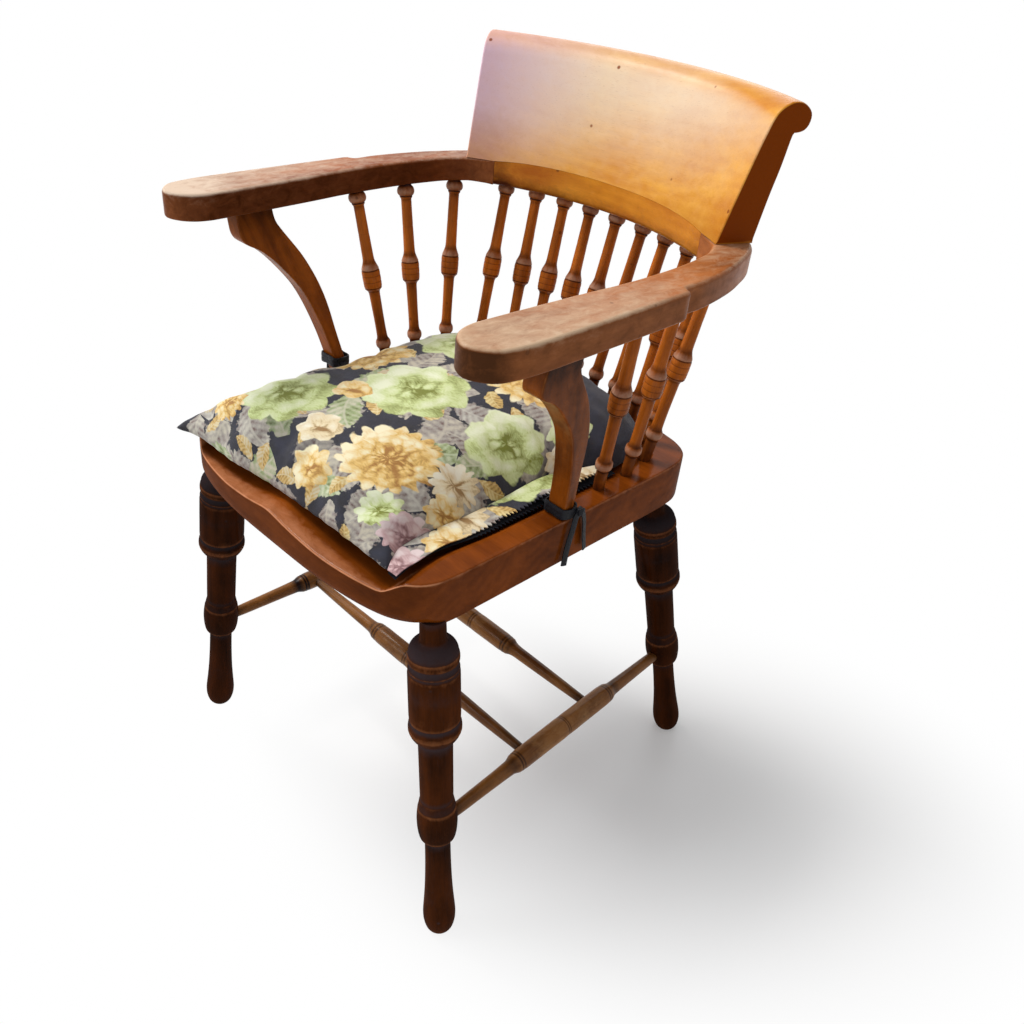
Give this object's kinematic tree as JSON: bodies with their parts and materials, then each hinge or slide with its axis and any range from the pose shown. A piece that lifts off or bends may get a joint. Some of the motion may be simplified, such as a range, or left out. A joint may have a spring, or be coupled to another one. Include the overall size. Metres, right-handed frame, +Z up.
{
  "type": "captain's chair",
  "caption": "Low wooden armchair with a sawn bow, rolled crest board, turned spindles, splayed turned legs and a loose tied floral seat cushion.",
  "frame": {"origin": "on the floor, under the middle of the whole chair", "axes": "+Z up, +Y to the back of the chair, +X to the right side seen from the front"},
  "size_m": [0.492, 0.5364, 0.831],
  "materials": {
    "honey_wood": "polished, worn",
    "arm_wood": "worn by hands",
    "seat_wood": "satin polish",
    "dark_wood": "dark polish",
    "spindle_wood": "satin polish",
    "stretcher_wood": "satin, dusty",
    "dowel_wood": "bare",
    "screw_steel": "plain",
    "cushion_cloth": "printed cotton",
    "ribbon_cloth": "woven ribbon"
  },
  "bodies": {
    "root": {"seat": "seat_wood", "leg_front_left": "dark_wood", "leg_rear_left": "dark_wood", "leg_front_right": "dark_wood", "leg_rear_right": "dark_wood", "stretcher_left": "stretcher_wood", "stretcher_right": "stretcher_wood", "cross_stretcher_front": "stretcher_wood", "cross_stretcher_rear": "stretcher_wood", "spindle_left_1": "spindle_wood", "spindle_right_1": "spindle_wood", "spindle_left_2": "spindle_wood", "spindle_right_2": "spindle_wood", "spindle_left_3": "spindle_wood", "spindle_right_3": "spindle_wood", "spindle_back_1": "spindle_wood", "spindle_back_2": "spindle_wood", "spindle_back_3": "spindle_wood", "spindle_back_4": "spindle_wood", "spindle_back_5": "spindle_wood", "spindle_back_6": "spindle_wood", "spindle_back_7": "spindle_wood", "spindle_back_8": "spindle_wood", "spindle_back_9": "spindle_wood", "bow_dowel_left_1": "dowel_wood", "bow_dowel_left_2": "dowel_wood", "bow_dowel_right_1": "dowel_wood", "bow_dowel_right_2": "dowel_wood", "crest_screw_1": "screw_steel", "crest_screw_2": "screw_steel", "crest_screw_3": "screw_steel", "crest_screw_4": "screw_steel", "back_rail": "honey_wood", "arm_left": "arm_wood", "arm_support_left": "spindle_wood", "arm_right": "arm_wood", "arm_support_right": "spindle_wood", "crest_board": "honey_wood", "cushion": "cushion_cloth", "tie_front_left": "ribbon_cloth", "tie_front_right": "ribbon_cloth", "tie_rear_left": "ribbon_cloth", "tie_rear_right": "ribbon_cloth"}
  },
  "joints": []
}
